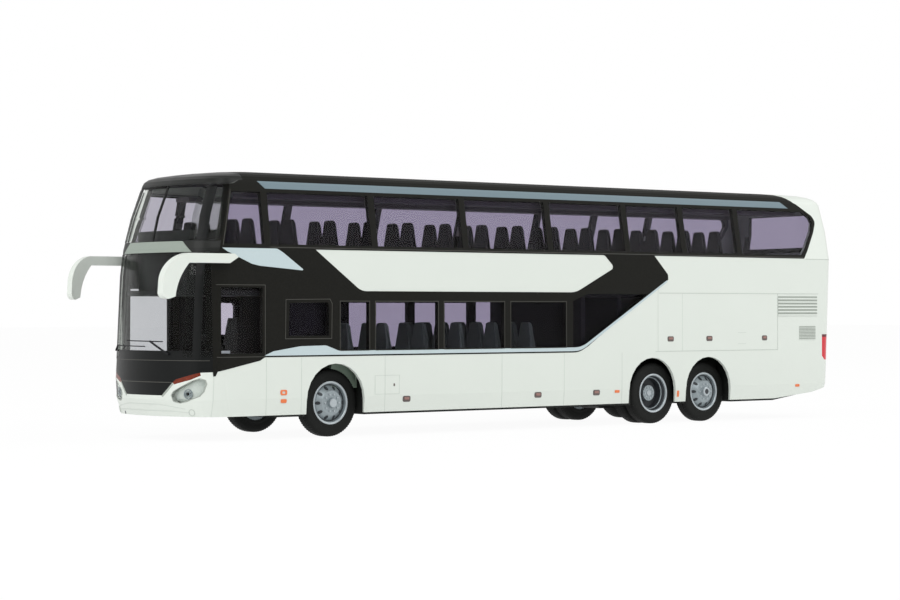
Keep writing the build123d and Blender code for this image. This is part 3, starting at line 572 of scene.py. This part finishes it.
# Ring of given section (radius, height) standing on the front at (y, z), turned about the surface normal.
def frontRing(y, z, section, steps=28):
    step = 0.05
    shifts = np.array([(0, 0), (step, 0), (-step, 0), (0, step), (0, -step)])
    origin, outer, inner, above, below = frontPlace(y + shifts[:, 0], z + shifts[:, 1])
    acrossY, upZ = outer - inner, above - below
    acrossY, normal = acrossY / np.linalg.norm(acrossY), np.cross(acrossY, upZ)
    normal /= np.linalg.norm(normal)
    upZ = np.cross(normal, acrossY)
    angle = np.linspace(0, 2 * math.pi, steps, endpoint=False)[:, None, None]
    radius, height = [np.array(section, float)[None, :, i, None] for i in (0, 1)]
    points = origin + radius * (np.cos(angle) * acrossY + np.sin(angle) * upZ) + height * normal
    return points.reshape(-1, 3), ringFaces(steps, len(section))


# Quads of a closed ring: steps around, count points in the closed section.
def ringFaces(steps, count):
    i, j = np.meshgrid(np.arange(steps), np.arange(count), indexing="ij")
    nextI, nextJ = (i + 1) % steps, (j + 1) % count
    corners = [i * count + j, nextI * count + j, nextI * count + nextJ, i * count + nextJ]
    return np.stack(corners, -1).reshape(-1, 4).tolist()


headlight = {
    "outline": [(7.45, 7.8), (7.9, 6.7), (9.2, 6.4), (10.7, 6.7), (12.8, 7.6), (13.35, 8.4), (13.7, 9.7),
                (13.6, 10.4), (12.9, 10.7), (11.8, 10.3), (9.3, 9.1), (8.0, 8.5)],
    "lamp": (10.5, 7.95), "back": -0.95, "thick": 0.15, "edge": 0.16,
    "rings": [(0.85, 0.25), (0.5, 0.3)], "ringWall": 0.14, "ringGap": 0.02,
    "lens": [(0.001, 0), (0.24, 0), (0.24, 0.2), (0.15, 0.3), (0.001, 0.33)],
}
fog = {
    "place": (11.07, 4.89), "ring": [(0.6, -0.05), (0.6, 0.05), (0.5, 0.05), (0.48, -0.05)],
    "lens": [(0.001, -0.05), (0.46, -0.05), (0.46, 0.015), (0.001, 0.025)],
}
towEye = {"place": (-7.8, 4.45), "section": [(0.001, -0.05), (0.28, -0.05), (0.28, 0.02), (0.001, 0.03)]}
for sign, word in ((1, "left"), (-1, "right")):
    outline = headlight["outline"] if sign > 0 else flipped(headlight["outline"])
    y, z = sign * headlight["lamp"][0], headlight["lamp"][1]
    back = headlight["back"]
    points, faces = joined([frontFilm(outline, lift=back, depth=headlight["thick"])])
    addPiece("reflector_" + word, points, faces, finish["reflector"])
    shells = []
    for outer, height in headlight["rings"]:
        inner, low, high = outer - headlight["ringWall"], back + headlight["ringGap"], back + height
        shells.append(frontRing(y, z, [(outer, low), (outer, high), (inner, high), (inner, low)]))
    points, faces = joined(shells)
    addPiece("lampRings_" + word, points, faces, finish["rim"])
    points, faces = frontRing(y, z, [(radius, back + height) for radius, height in headlight["lens"]])
    addPiece("lampLens_" + word, points, faces, finish["mask"])
    points, faces = joined([frontFilm(**loopLine(outline, headlight["edge"]), lift=0.03, depth=0.05)])
    addPiece("lampEdge_" + word, points, faces, finish["ventShade"])
    y, z = sign * fog["place"][0], fog["place"][1]
    addPiece("fogRing_" + word, *frontRing(y, z, fog["ring"]), finish["line"])
    addPiece("fogLens_" + word, *frontRing(y, z, fog["lens"]), finish["white"])
addPiece("towEye", *frontRing(*towEye["place"], towEye["section"]), finish["rimShade"])
print("lamps set")

# Interior: seats and lower deck as the windows show them.


# Places of a run of seats: the first one's x, then one pitch further back for each row.
def seatRun(first, pitch, rows=14):
    return [first - row * pitch for row in range(rows)]


seat = {
    "side": [(-1.2, 0.0), (-1.0, 4.4), (-0.35, 9.0), (-0.3, 11.6), (-0.05, 12.15), (0.25, 12.3), (0.5, 12.1),
             (0.62, 9.0), (1.0, 4.9), (4.2, 4.5), (4.4, 4.1), (4.4, 0.0)],
    "halfWidth": [(0, 2.15), (4.4, 2.15), (6.6, 2.06), (9.0, 1.68), (11.6, 1.22), (12.15, 1.08), (12.3, 0.9)],
    "across": (9.6, 5.2),
    "upper": {"floor": 25.4, "stretch": 1.0, "near": seatRun(144.95, 8.8), "far": seatRun(143.7, 9.195)},
    "lower": {"floor": 8.4, "stretch": 0.925, "near": (124.2, 115.6, 107.0, 98.4, 89.8, 81.2),
              "far": (94.0, 89.7, 85.4, 81.1, 76.8)},
}


# Seat: the side view is carried across at half widths that narrow with height.
def seatShell(x, y, floorZ, stretch):
    profile = np.array(seat["side"])
    reach = np.interp(profile[:, 1], *np.array(seat["halfWidth"]).T)
    count = len(profile)
    along, up = x + profile[:, 0] - body["midX"], floorZ + stretch * profile[:, 1]
    rows = [np.stack([along, y + side * reach, up], -1) for side in (-1.0, 1.0)]
    walls = [(i, i + count, (i + 1) % count + count, (i + 1) % count) for i in range(count)]
    return np.vstack(rows), walls + [tuple(range(count)), tuple(range(2 * count - 1, count - 1, -1))]


# All seats of a deck: near rows on the left, far rows on the right, two across in each.
def seatRows(deck):
    spots = [(x, y) for x in deck["near"] for y in seat["across"]]
    spots += [(x, -y) for x in deck["far"] for y in seat["across"]]
    return joined([seatShell(x, y, deck["floor"], deck["stretch"]) for x, y in spots])


points, faces = seatRows(seat["upper"])
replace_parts(addPiece("upperSeatRows", points, faces, finish["interior"], slot="interior"), "upper_seats")
points, faces = seatRows(seat["lower"])
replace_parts(addPiece("lowerSeatRows", points, faces, finish["lowerSeat"], slot="interior"), "lower_seats")


# Box between two places along x, two across and two levels.
def block(left, right, near, far, low, high):
    corners = [(x - body["midX"], y, z) for x in (left, right) for y in (near, far) for z in (low, high)]
    faces = [(0, 1, 3, 2), (4, 6, 7, 5), (0, 4, 5, 1), (2, 3, 7, 6), (0, 2, 6, 4), (1, 5, 7, 3)]
    return np.array(corners), faces


# Lower deck: floor between the wheel boxes, cross walls, stairwell behind the small window, and dark
# panels inside the right flank.
floorLow, floorTop, ceiling, insideY = 7.6, 8.4, 24.45, 13.1
wallFoot = floorTop - 0.1
lowerDeck = {
    "floors": [(60, 121.9, -insideY, insideY), (121.9, 136.5, -8.6, 8.6), (136.5, 151.5, -12.6, 12.6)],
    "walls": [(60, 61, -insideY, insideY, wallFoot), (69.5, 70.5, -insideY, insideY, wallFoot),
              (136.5, 141, 8.6, insideY, wallFoot), (130.6, 136.6, 8.6, insideY, 14.0),
              (137.6, 143.6, -insideY, -12.6, wallFoot), (121.2, 130.6, -insideY, -12.5, 14.0)],
    "header": (150.6, 154.0, -13.2, -12.2, 25.8, 26.6), "labelBar": (150.9, 153.2, 12.4, 12.7, 14.75, 15.2),
}
shells = [block(*spec, floorLow, floorTop) for spec in lowerDeck["floors"]]
shells += [block(*spec, ceiling) for spec in lowerDeck["walls"]]
points, faces = joined(shells + [block(*lowerDeck["header"])])
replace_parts(addPiece("lowerDeck", points, faces, finish["interior"], slot="interior"), "lower_floor")

seamLiners = {
    "seams": [[(155.2, 11.3), (155.2, 31.7)], [(153.89, 31.85), (153.39, 33.7), (150.49, 43.36)]],
    "reach": 1.8, "ahead": 0.06, "behind": 0.02, "proud": 0.04, "levels": 24,
}


# Black lining of the cut edge beside the front screens: a flat bar's section, carried up the seam.
def seamLiner(side, seam):
    z = np.linspace(seam[0][1], seam[-1][1], seamLiners["levels"])
    x = np.interp(z, [p[1] for p in seam], [p[0] for p in seam])
    ahead, behind = x + seamLiners["ahead"], x - seamLiners["behind"]
    outer = sideHalf(x, z) + seamLiners["proud"]
    inner = outer - seamLiners["reach"]
    section = [(ahead, outer), (ahead, inner), (behind, inner), (behind, outer)]
    points = np.stack([np.stack([a - body["midX"], side * b, z], -1) for a, b in section], 1).reshape(-1, 3)
    last = len(points) - 4
    sides = [(i, j, (j + 1) % 4) for i in range(0, last, 4) for j in range(4)]
    faces = [(i + j, i + k, i + 4 + k, i + 4 + j) for i, j, k in sides]
    faces += [(3, 2, 1, 0), (last, last + 1, last + 2, last + 3)]
    return points, [f[::-side] for f in faces]


points, faces = joined([seamLiner(side, seam) for seam in seamLiners["seams"] for side in (1, -1)])
addPiece("seamLiners", points, faces, finish["black"], slot="black")
addPiece("cabLabelBar", *block(*lowerDeck["labelBar"]), finish["hub"])
print("interior set")

# Wheels: the same places and faces as the frame's wheels, with tread, flange, nuts and hand holes.
wheels = {
    "front": {"x": 129.2, "face": 12.3, "tyres": 1}, "drive": {"x": 51.1, "face": 13.1, "tyres": 2},
    "tag": {"x": 36.3, "face": 12.3, "tyres": 1},
    "radius": 5.9, "width": 2.6, "gap": 0.4,
}


# Closed section (radius, distance out from the wheel's face) turned about its axle; dent lowers the radius.
def turned(wheel, side, section, steps=72, dent=None):
    angle = np.linspace(0, 2 * math.pi, steps, endpoint=False)[:, None]
    radius = np.array([p[0] for p in section], float)[None] - (0 if dent is None else dent)
    across = side * (wheel["face"] + np.array([p[1] for p in section], float)[None] + 0 * angle)
    x, z = wheel["x"] - body["midX"] + radius * np.cos(angle), wheels["radius"] + radius * np.sin(angle)
    faces = ringFaces(steps, len(section))
    return np.stack([x, across, z], -1).reshape(-1, 3), [f[::-side] for f in faces]


# Small prisms set in a ring on a wheel: corners of a regular polygon, stretched along the ring, whose
# foot stands out from the wheel's face by base and falls by slope for each mm outwards.
def studs(wheel, side, ringRadius, base, count, size, height, corners=6, stretch=1.0, slope=0.0):
    spot = np.arange(count) * 2 * math.pi / count
    corner = np.arange(corners) * 2 * math.pi / corners
    along, out = size * stretch * np.cos(corner)[None, :, None], size * np.sin(corner)[None, :, None]
    lift = np.array([0.0, height])[None, None, :]
    radius = ringRadius + out + 0 * lift + 0 * along
    y = side * (wheel["face"] + base + lift - slope * out + 0 * along)
    x = wheel["x"] - body["midX"] + radius * np.cos(spot)[:, None, None] - along * np.sin(spot)[:, None, None]
    z = wheels["radius"] + radius * np.sin(spot)[:, None, None] + along * np.cos(spot)[:, None, None]
    points = np.stack([x, y + 0 * x, z], -1).reshape(-1, 3)
    faces = []
    for stud in range(count):
        first = stud * corners * 2
        low, high = [first + 2 * i for i in range(corners)], [first + 2 * i + 1 for i in range(corners)]
        walls = [(low[i], low[(i + 1) % corners], high[(i + 1) % corners], high[i]) for i in range(corners)]
        faces += [f[::-side] for f in walls + [tuple(high), tuple(low[::-1])]]
    return points, faces


tread = {"steps": 216, "pitch": 3, "notch": 0.09}
# Half of the tyre's section, from bead to middle groove: radius, distance from its middle, notched share.
halfTyre = [(3.75, 1.3, 0), (4.15, 1.3, 0), (4.3, 1.26, 0), (4.9, 1.27, 0), (5.35, 1.24, 0),
            (5.6, 1.15, 0.6), (5.78, 1.05, 1), (5.88, 0.9, 1), (5.9, 0.62, 1), (5.82, 0.6, 0),
            (5.82, 0.5, 0), (5.9, 0.48, 0), (5.9, 0.06, 0), (5.82, 0.04, 0)]
tyreSection = [(r, -w, share) for r, w, share in halfTyre] + halfTyre[::-1]
# Sections are radius and distance out from the wheel's face. The dish is the rim's cone between two rings.
trim = {
    "flange": [(3.78, -0.3), (3.8, -0.02), (3.7, 0.06), (3.55, 0.06), (3.42, -0.02), (3.34, -0.3)],
    "frontCap": [(0.001, 0.3), (0.82, 0.3), (0.82, 0.75), (0.72, 0.85), (0.45, 0.88), (0.001, 0.89)],
    "tagCap": [(0.5, 0.3), (0.95, 0.3), (0.9, 0.8), (0.78, 0.88), (0.5, 0.86)],
    "tagPlug": [(0.001, 0.8), (0.5, 0.8), (0.5, 0.872), (0.001, 0.872)],
    "driveCap": [(0.001, -1.31), (0.62, -1.31), (0.55, -1.18), (0.001, -1.15)],
    "nuts": {"ringRadius": 1.5, "base": 0.28, "count": 10, "size": 0.17, "height": 0.2},
    "driveNuts": {"ringRadius": 1.05, "base": -1.31, "count": 10, "size": 0.14, "height": 0.16},
    "handHoles": {"ringRadius": 2.66, "count": 10, "size": 0.36, "height": 0.1, "corners": 10,
                  "stretch": 0.85},
    "dish": {"inner": (2.1, 0.3), "outer": (3.2, -0.75)}, "holeSunk": 0.05,
    "grooveShade": [(3.33, -0.5), (3.33, -0.62), (3.0, -0.62), (3.12, -0.5)],
    "barrelShade": [(3.36, -0.3), (3.3, -0.28), (2.98, -0.95), (2.84, -2.3), (1.52, -2.5), (1.52, -2.7),
               (3.0, -2.7), (3.36, -0.9)],
    "barrelStep": [(3.1, -0.8), (2.96, -0.86), (2.9, -1.05), (3.0, -1.1)],
    "capSteps": 40, "smallSteps": 24, "driveCapSteps": 32,
}
(innerR, innerY), (outerR, outerY) = trim["dish"]["inner"], trim["dish"]["outer"]
slope = (innerY - outerY) / (outerR - innerR)
holeBase = innerY - slope * (trim["handHoles"]["ringRadius"] - innerR) - trim["holeSunk"]
for name in ("front", "drive", "tag"):
    wheel, rider = wheels[name], name + "_wheelset"
    for side, word in ((1, "left"), (-1, "right")):
        share = np.array([p[2] for p in tyreSection])[None]
        dent = tread["notch"] * share * (np.arange(tread["steps"]) % tread["pitch"] == 0)[:, None]
        shells = []
        for number in range(wheel["tyres"]):
            middle = -wheels["width"] / 2 - number * (wheels["width"] + wheels["gap"])
            section = [(r, middle + w) for r, w, _ in tyreSection]
            shells.append(turned(wheel, side, section, tread["steps"], dent))
        points, faces = joined(shells)
        tyre = addPiece(f"{name}Tread_{word}", points, faces, finish["tyre"], rider, slot="tyre")
        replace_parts(tyre, f"{name}_tyre_{word}")
        points, faces = turned(wheel, side, trim["flange"])
        addPiece(f"{name}Flange_{word}", points, faces, finish["hub"], rider, smooth=True)
        if wheel["tyres"] == 1:
            points, faces = joined([studs(wheel, side, **trim["nuts"]),
                                    turned(wheel, side, trim[name + "Cap"], trim["capSteps"])])
            addPiece(f"{name}Hub_{word}", points, faces, finish["hub"], rider)
            # The hand holes and the ring in the groove inside the flange are dark rim shade: painted shade
            # where the wheel is hollow.
            shells = [studs(wheel, side, base=holeBase, slope=slope, **trim["handHoles"])]
            if name == "tag":
                shells.append(turned(wheel, side, trim["tagPlug"], trim["smallSteps"]))
            points, faces = joined(shells + [turned(wheel, side, trim["grooveShade"])])
            addPiece(f"{name}HandHoles_{word}", points, faces, finish["rimShade"], rider)
        else:
            points, faces = joined([studs(wheel, side, **trim["driveNuts"]),
                                    turned(wheel, side, trim["driveCap"], trim["driveCapSteps"])])
            addPiece(f"{name}Hub_{word}", points, faces, finish["hub"], rider)
            # The drive wheel's barrel is dark rim shade: painted shade inside the deep rim.
            addPiece(f"{name}Barrel_{word}", *turned(wheel, side, trim["barrelShade"]), finish["rimShade"], rider)
            points, faces = turned(wheel, side, trim["barrelStep"])
            addPiece(f"{name}BarrelStep_{word}", points, faces, finish["rim"], rider, smooth=True)
print("wheels dressed")

# Rear: black frame of the upper window, hatch, louvre, bare plate field and reflectors.
rear = {
    "frame": [(-10.9, 34.0, 0.8), (-9.6, 42.7, 1.2), (9.6, 42.7, 1.2), (10.9, 34.0, 0.8)],
    "window": [(-9.6, 35.0), (-8.6, 41.8), (8.6, 41.8), (9.6, 35.0)],
    "gaps": [[(-13.9, 8.2), (13.9, 8.2)], [(-13.5, 32.4), (13.5, 32.4)]],
    "hatch": rectangle(-10.2, 9.2, 10.2, 31.6), "gapWidth": 0.13, "windowInset": 0.03,
    "plate": rectangle(-3.0, 9.9, 3.0, 11.5), "vent": (-7.5, 22.5, 7.5, 27.5, 8), "slatShare": 0.5,
    "reflector": (11.6, 7.2, 1.6, 0.7), "gapLayer": {"lift": 0.03, "depth": 0.04},
}
gapLayer, window = rear["gapLayer"], inset(rear["window"], rear["windowInset"])
points, faces = joined([rearFilm(rounded(rear["frame"]), holes=[window], lift=0.05, depth=0.98)])
addPiece("rearWindowFrame", points, faces, finish["black"], slot="black")
shells = [rearFilm(ribbon(path, rear["gapWidth"]), **gapLayer) for path in rear["gaps"]]
points, faces = joined(shells + [rearFilm(**loopLine(rear["hatch"], rear["gapWidth"]), **gapLayer)])
addPiece("rearGaps", points, faces, finish["line"])
points, faces = joined([rearFilm(rear["plate"], lift=0.12, depth=0.13)])
addPiece("rearPlateField", points, faces, finish["softLine"])
left, low, right, high, count = rear["vent"]
pitch = (high - low) / count
points, faces = joined([rearFilm(rectangle(left, low, right, high), **gapLayer)])
addPiece("rearLouvreField", points, faces, finish["ventShade"])
slats = [rectangle(left, low + n * pitch, right, low + (n + rear["slatShare"]) * pitch) for n in range(count)]
points, faces = joined([rearFilm(slat, lift=0.15, depth=0.14) for slat in slats])
addPiece("rearLouvreSlats", points, faces, finish["white"], slot="body")
y, z, width, height = rear["reflector"]
reflectors = [softMark(sign * y, z, width, height) for sign in (1, -1)]
points, faces = joined([rearFilm(outline, lift=0.1, depth=0.12) for outline in reflectors])
addPiece("rearReflectors", points, faces, finish["red"])
print("rear details set")

# Roof: seam of the front cap, two hatches in outline and the end of the windscreen's divider.
roofLines = {
    "width": 0.2, "seam": [(147.75, -11.6), (147.75, 11.6)], "divider": [(154.4, 0), (142.0, 0)],
    "hatches": [rectangle(103, -4, 112, 4), rectangle(38, -4, 47, 4)],
}
shells = [{"outline": ribbon(roofLines["seam"], roofLines["width"]), "stripV": strips["front"]}]
shells += [{**loopLine(h, roofLines["width"]), "stripV": strips["front"]} for h in roofLines["hatches"]]
shells.append({"outline": ribbon(roofLines["divider"], front["dividerWidth"]),
               "stripU": list(np.arange(142.5, 154.4, 0.5))})
shells = [filmShell(place=roofPlace, **shell, **lineLayer) for shell in shells]
points, faces = joined(shells)
addPiece("roofLines", points, faces, finish["rimShade"])
print("roof lines set")

stage = {"floorHalf": 3.0, "keep": 0.95, "world": 0.75}


# Stage white: seen straight or through glass it is nearly pure white, and it takes only a faint shadow.
def stageWhite():
    mat = bpy.data.materials.new("stageWhite")
    mat.use_nodes = True
    nodes, links = mat.node_tree.nodes, mat.node_tree.links
    nodes.clear()
    out, mix = nodes.new("ShaderNodeOutputMaterial"), nodes.new("ShaderNodeMixShader")
    matt, glow = nodes.new("ShaderNodeBsdfDiffuse"), nodes.new("ShaderNodeEmission")
    matt.inputs["Color"].default_value = (0.9, 0.9, 0.9, 1)
    glow.inputs["Strength"].default_value = 1.0
    path = nodes.new("ShaderNodeLightPath")
    straight, seen, share = [nodes.new("ShaderNodeMath") for _ in range(3)]
    straight.operation = seen.operation = "MAXIMUM"
    share.operation = "MULTIPLY"
    share.inputs[1].default_value = stage["keep"]
    links.new(path.outputs["Is Camera Ray"], straight.inputs[0])
    links.new(path.outputs["Is Transmission Ray"], straight.inputs[1])
    links.new(straight.outputs[0], seen.inputs[0])
    links.new(path.outputs["Is Glossy Ray"], seen.inputs[1])
    links.new(seen.outputs[0], share.inputs[0])
    links.new(share.outputs[0], mix.inputs["Fac"])
    links.new(matt.outputs[0], mix.inputs[1])
    links.new(glow.outputs[0], mix.inputs[2])
    links.new(mix.outputs[0], out.inputs["Surface"])
    return mat


half = stage["floorHalf"]
floorMesh = bpy.data.meshes.new("studioFloor")
corners = [(-half, -half, 0), (half, -half, 0), (half, half, 0), (-half, half, 0)]
floorMesh.from_pydata(corners, [], [(0, 1, 2, 3)])
floorMesh.materials.append(stageWhite())
floor = bpy.data.objects.new("studioFloor", floorMesh)
bpy.context.scene.collection.objects.link(floor)

world = bpy.data.worlds.new("studioWorld")
bpy.context.scene.world = world
world.use_nodes = True
worldNodes, worldLinks = world.node_tree.nodes, world.node_tree.links
backing = worldNodes["Background"]
backing.inputs["Color"].default_value = (1, 1, 1, 1)
path = worldNodes.new("ShaderNodeLightPath")
seen = worldNodes.new("ShaderNodeMath")
seen.operation = "MAXIMUM"
worldLinks.new(path.outputs["Is Camera Ray"], seen.inputs[0])
worldLinks.new(path.outputs["Is Transmission Ray"], seen.inputs[1])
strength = worldNodes.new("ShaderNodeMapRange")
strength.inputs["To Min"].default_value = stage["world"]
strength.inputs["To Max"].default_value = 1.0
worldLinks.new(seen.outputs[0], strength.inputs["Value"])
worldLinks.new(strength.outputs["Result"], backing.inputs["Strength"])

softLights = {
    "keyLight": {"place": (0.35, 0.45, 0.55), "size": 0.5, "power": 1.6},
    "noseLight": {"place": (0.65, -0.05, 0.30), "size": 0.4, "power": 1.2},
    "rearFill": {"place": (-0.45, 0.35, 0.40), "size": 0.5, "power": 1.2},
}
for name, spec in softLights.items():
    lamp = bpy.data.lights.new(name, "AREA")
    lamp.energy, lamp.size = spec["power"], spec["size"]
    obj = bpy.data.objects.new(name, lamp)
    obj.location = spec["place"]
    obj.rotation_euler = (Vector((0, 0, 0.02)) - Vector(spec["place"])).to_track_quat("-Z", "Y").to_euler()
    bpy.context.scene.collection.objects.link(obj)

# Camera worked out from the wheels, belt line and roof line of the photograph.
view = {"place": (0.3095, 0.35698, 0.02154), "yaw": 40.078, "pitch": 0.295, "roll": -0.087, "lens": 99.43}
yaw, pitch, roll = [math.radians(view[k]) for k in ("yaw", "pitch", "roll")]
ahead = Vector((-math.sin(yaw) * math.cos(pitch), -math.cos(yaw) * math.cos(pitch), math.sin(pitch)))
right = ahead.cross(Vector((0, 0, 1))).normalized()
up = right.cross(ahead)
rightTurned = right * math.cos(roll) + up * math.sin(roll)
upTurned = up * math.cos(roll) - right * math.sin(roll)
eye = bpy.data.cameras.new("photoCamera")
eye.lens, eye.sensor_width, eye.clip_start, eye.clip_end = view["lens"], 36, 0.01, 20
camera = bpy.data.objects.new("photoCamera", eye)
facing = Matrix((rightTurned, upTurned, -ahead)).transposed().to_4x4()
camera.matrix_world = Matrix.Translation(view["place"]) @ facing
bpy.context.scene.collection.objects.link(camera)
bpy.context.scene.camera = camera
bpy.context.scene.view_settings.view_transform = "Standard"
print("camera and lights set")
